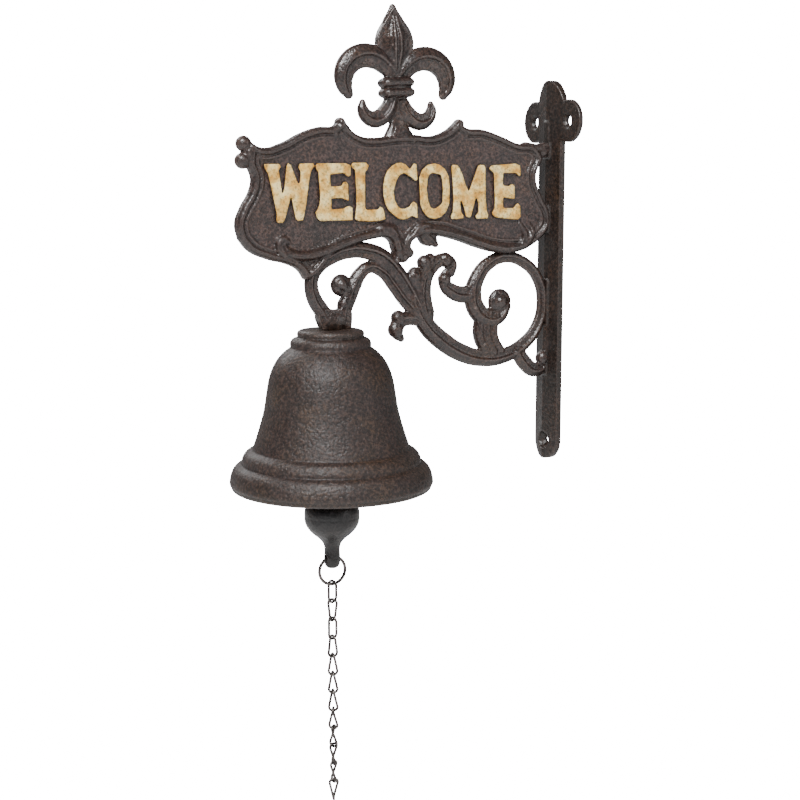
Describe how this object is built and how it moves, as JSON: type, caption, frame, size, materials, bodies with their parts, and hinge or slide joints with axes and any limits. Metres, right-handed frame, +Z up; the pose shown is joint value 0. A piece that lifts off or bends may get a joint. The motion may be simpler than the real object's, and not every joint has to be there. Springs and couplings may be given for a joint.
{
  "type": "wall mounted bell",
  "caption": "Cast iron bell on a scrolled wall bracket with a lily finial and a raised greeting board, with a clapper on a pull ring and chain.",
  "frame": {"origin": "centre of the wall bar back face, 3 mm above the line between the two upper screw holes", "axes": "+X into the wall, so the bracket stands out along -X; +Z up; the board lies in the plane Y = 0, its front faces -Y"},
  "size_m": [0.1977, 0.1124, 0.4434],
  "materials": {
    "casting_iron": "dark brown patina over a sand cast surface",
    "bell_iron": "dark brown patina, fine even grain",
    "clapper_iron": "dark brown patina, smoother",
    "letter_paint": "cream gold paint, worn",
    "black_wire": "blackened steel wire"
  },
  "bodies": {
    "bracket": {"bracket_casting": "casting_iron", "lettering_front": "letter_paint", "lettering_back": "letter_paint", "bell": "bell_iron", "hanger_eye_bolt": "black_wire", "bell_washer": "black_wire", "bell_nut": "black_wire"},
    "hook": {"clapper_hook": "black_wire"},
    "clapper": {"clapper": "clapper_iron"},
    "ring": {"pull_ring": "black_wire"},
    "link_01": {"chain_link_01": "black_wire"},
    "link_02": {"chain_link_02": "black_wire"},
    "link_03": {"chain_link_03": "black_wire"},
    "link_04": {"chain_link_04": "black_wire"},
    "link_05": {"chain_link_05": "black_wire"},
    "link_06": {"chain_link_06": "black_wire"},
    "link_07": {"chain_link_07": "black_wire"},
    "link_08": {"chain_link_08": "black_wire"},
    "link_09": {"chain_link_09": "black_wire"},
    "link_10": {"chain_link_10": "black_wire"},
    "link_11": {"chain_link_11": "black_wire"},
    "link_12": {"chain_link_12": "black_wire"}
  },
  "joints": [
    {"name": "clapper_swing", "type": "hinge", "parent": "bracket", "child": "hook", "pos_m": [-0.1415, 0, -0.1408], "axis": [0, 1, 0], "range_deg": [-27, 27]},
    {"name": "clapper_sway", "type": "hinge", "parent": "hook", "child": "clapper", "pos_m": [-0.1415, 0, -0.1608], "axis": [1, 0, 0], "range_deg": [-6, 6]},
    {"name": "ring_turn", "type": "hinge", "parent": "clapper", "child": "ring", "pos_m": [-0.1415, 0, -0.2418], "axis": [1, 0, 0], "range_deg": [-30, 30]},
    {"name": "link_01_hinge", "type": "hinge", "parent": "ring", "child": "link_01", "pos_m": [-0.1415, 0, -0.2573], "axis": [1, 0, 0], "range_deg": [-15, 15]},
    {"name": "link_02_hinge", "type": "hinge", "parent": "link_01", "child": "link_02", "pos_m": [-0.1415, 0, -0.26605], "axis": [0.6561, -0.7547, 0], "range_deg": [-15, 15]},
    {"name": "link_03_hinge", "type": "hinge", "parent": "link_02", "child": "link_03", "pos_m": [-0.1415, 0, -0.27815], "axis": [0.7547, 0.6561, 0], "range_deg": [-15, 15]},
    {"name": "link_04_hinge", "type": "hinge", "parent": "link_03", "child": "link_04", "pos_m": [-0.1415, 0, -0.28705], "axis": [0, -1, 0], "range_deg": [-15, 15]},
    {"name": "link_05_hinge", "type": "hinge", "parent": "link_04", "child": "link_05", "pos_m": [-0.1415, 0, -0.29915], "axis": [1, 0, 0], "range_deg": [-15, 15]},
    {"name": "link_06_hinge", "type": "hinge", "parent": "link_05", "child": "link_06", "pos_m": [-0.1415, 0, -0.30805], "axis": [-0.309, -0.9511, 0], "range_deg": [-15, 15]},
    {"name": "link_07_hinge", "type": "hinge", "parent": "link_06", "child": "link_07", "pos_m": [-0.1415, 0, -0.32015], "axis": [0.9511, -0.309, 0], "range_deg": [-15, 15]},
    {"name": "link_08_hinge", "type": "hinge", "parent": "link_07", "child": "link_08", "pos_m": [-0.1415, 0, -0.32905], "axis": [-0.5446, -0.8387, 0], "range_deg": [-15, 15]},
    {"name": "link_09_hinge", "type": "hinge", "parent": "link_08", "child": "link_09", "pos_m": [-0.1415, 0, -0.34115], "axis": [0.8387, -0.5446, 0], "range_deg": [-15, 15]},
    {"name": "link_10_hinge", "type": "hinge", "parent": "link_09", "child": "link_10", "pos_m": [-0.1415, 0, -0.35005], "axis": [-0.9976, -0.0698, 0], "range_deg": [-15, 15]},
    {"name": "link_11_hinge", "type": "hinge", "parent": "link_10", "child": "link_11", "pos_m": [-0.1415, 0, -0.36215], "axis": [0.0698, -0.9976, 0], "range_deg": [-15, 15]},
    {"name": "link_12_hinge", "type": "hinge", "parent": "link_11", "child": "link_12", "pos_m": [-0.1415, 0, -0.37105], "axis": [-0.9397, 0.342, 0], "range_deg": [-15, 15]}
  ]
}
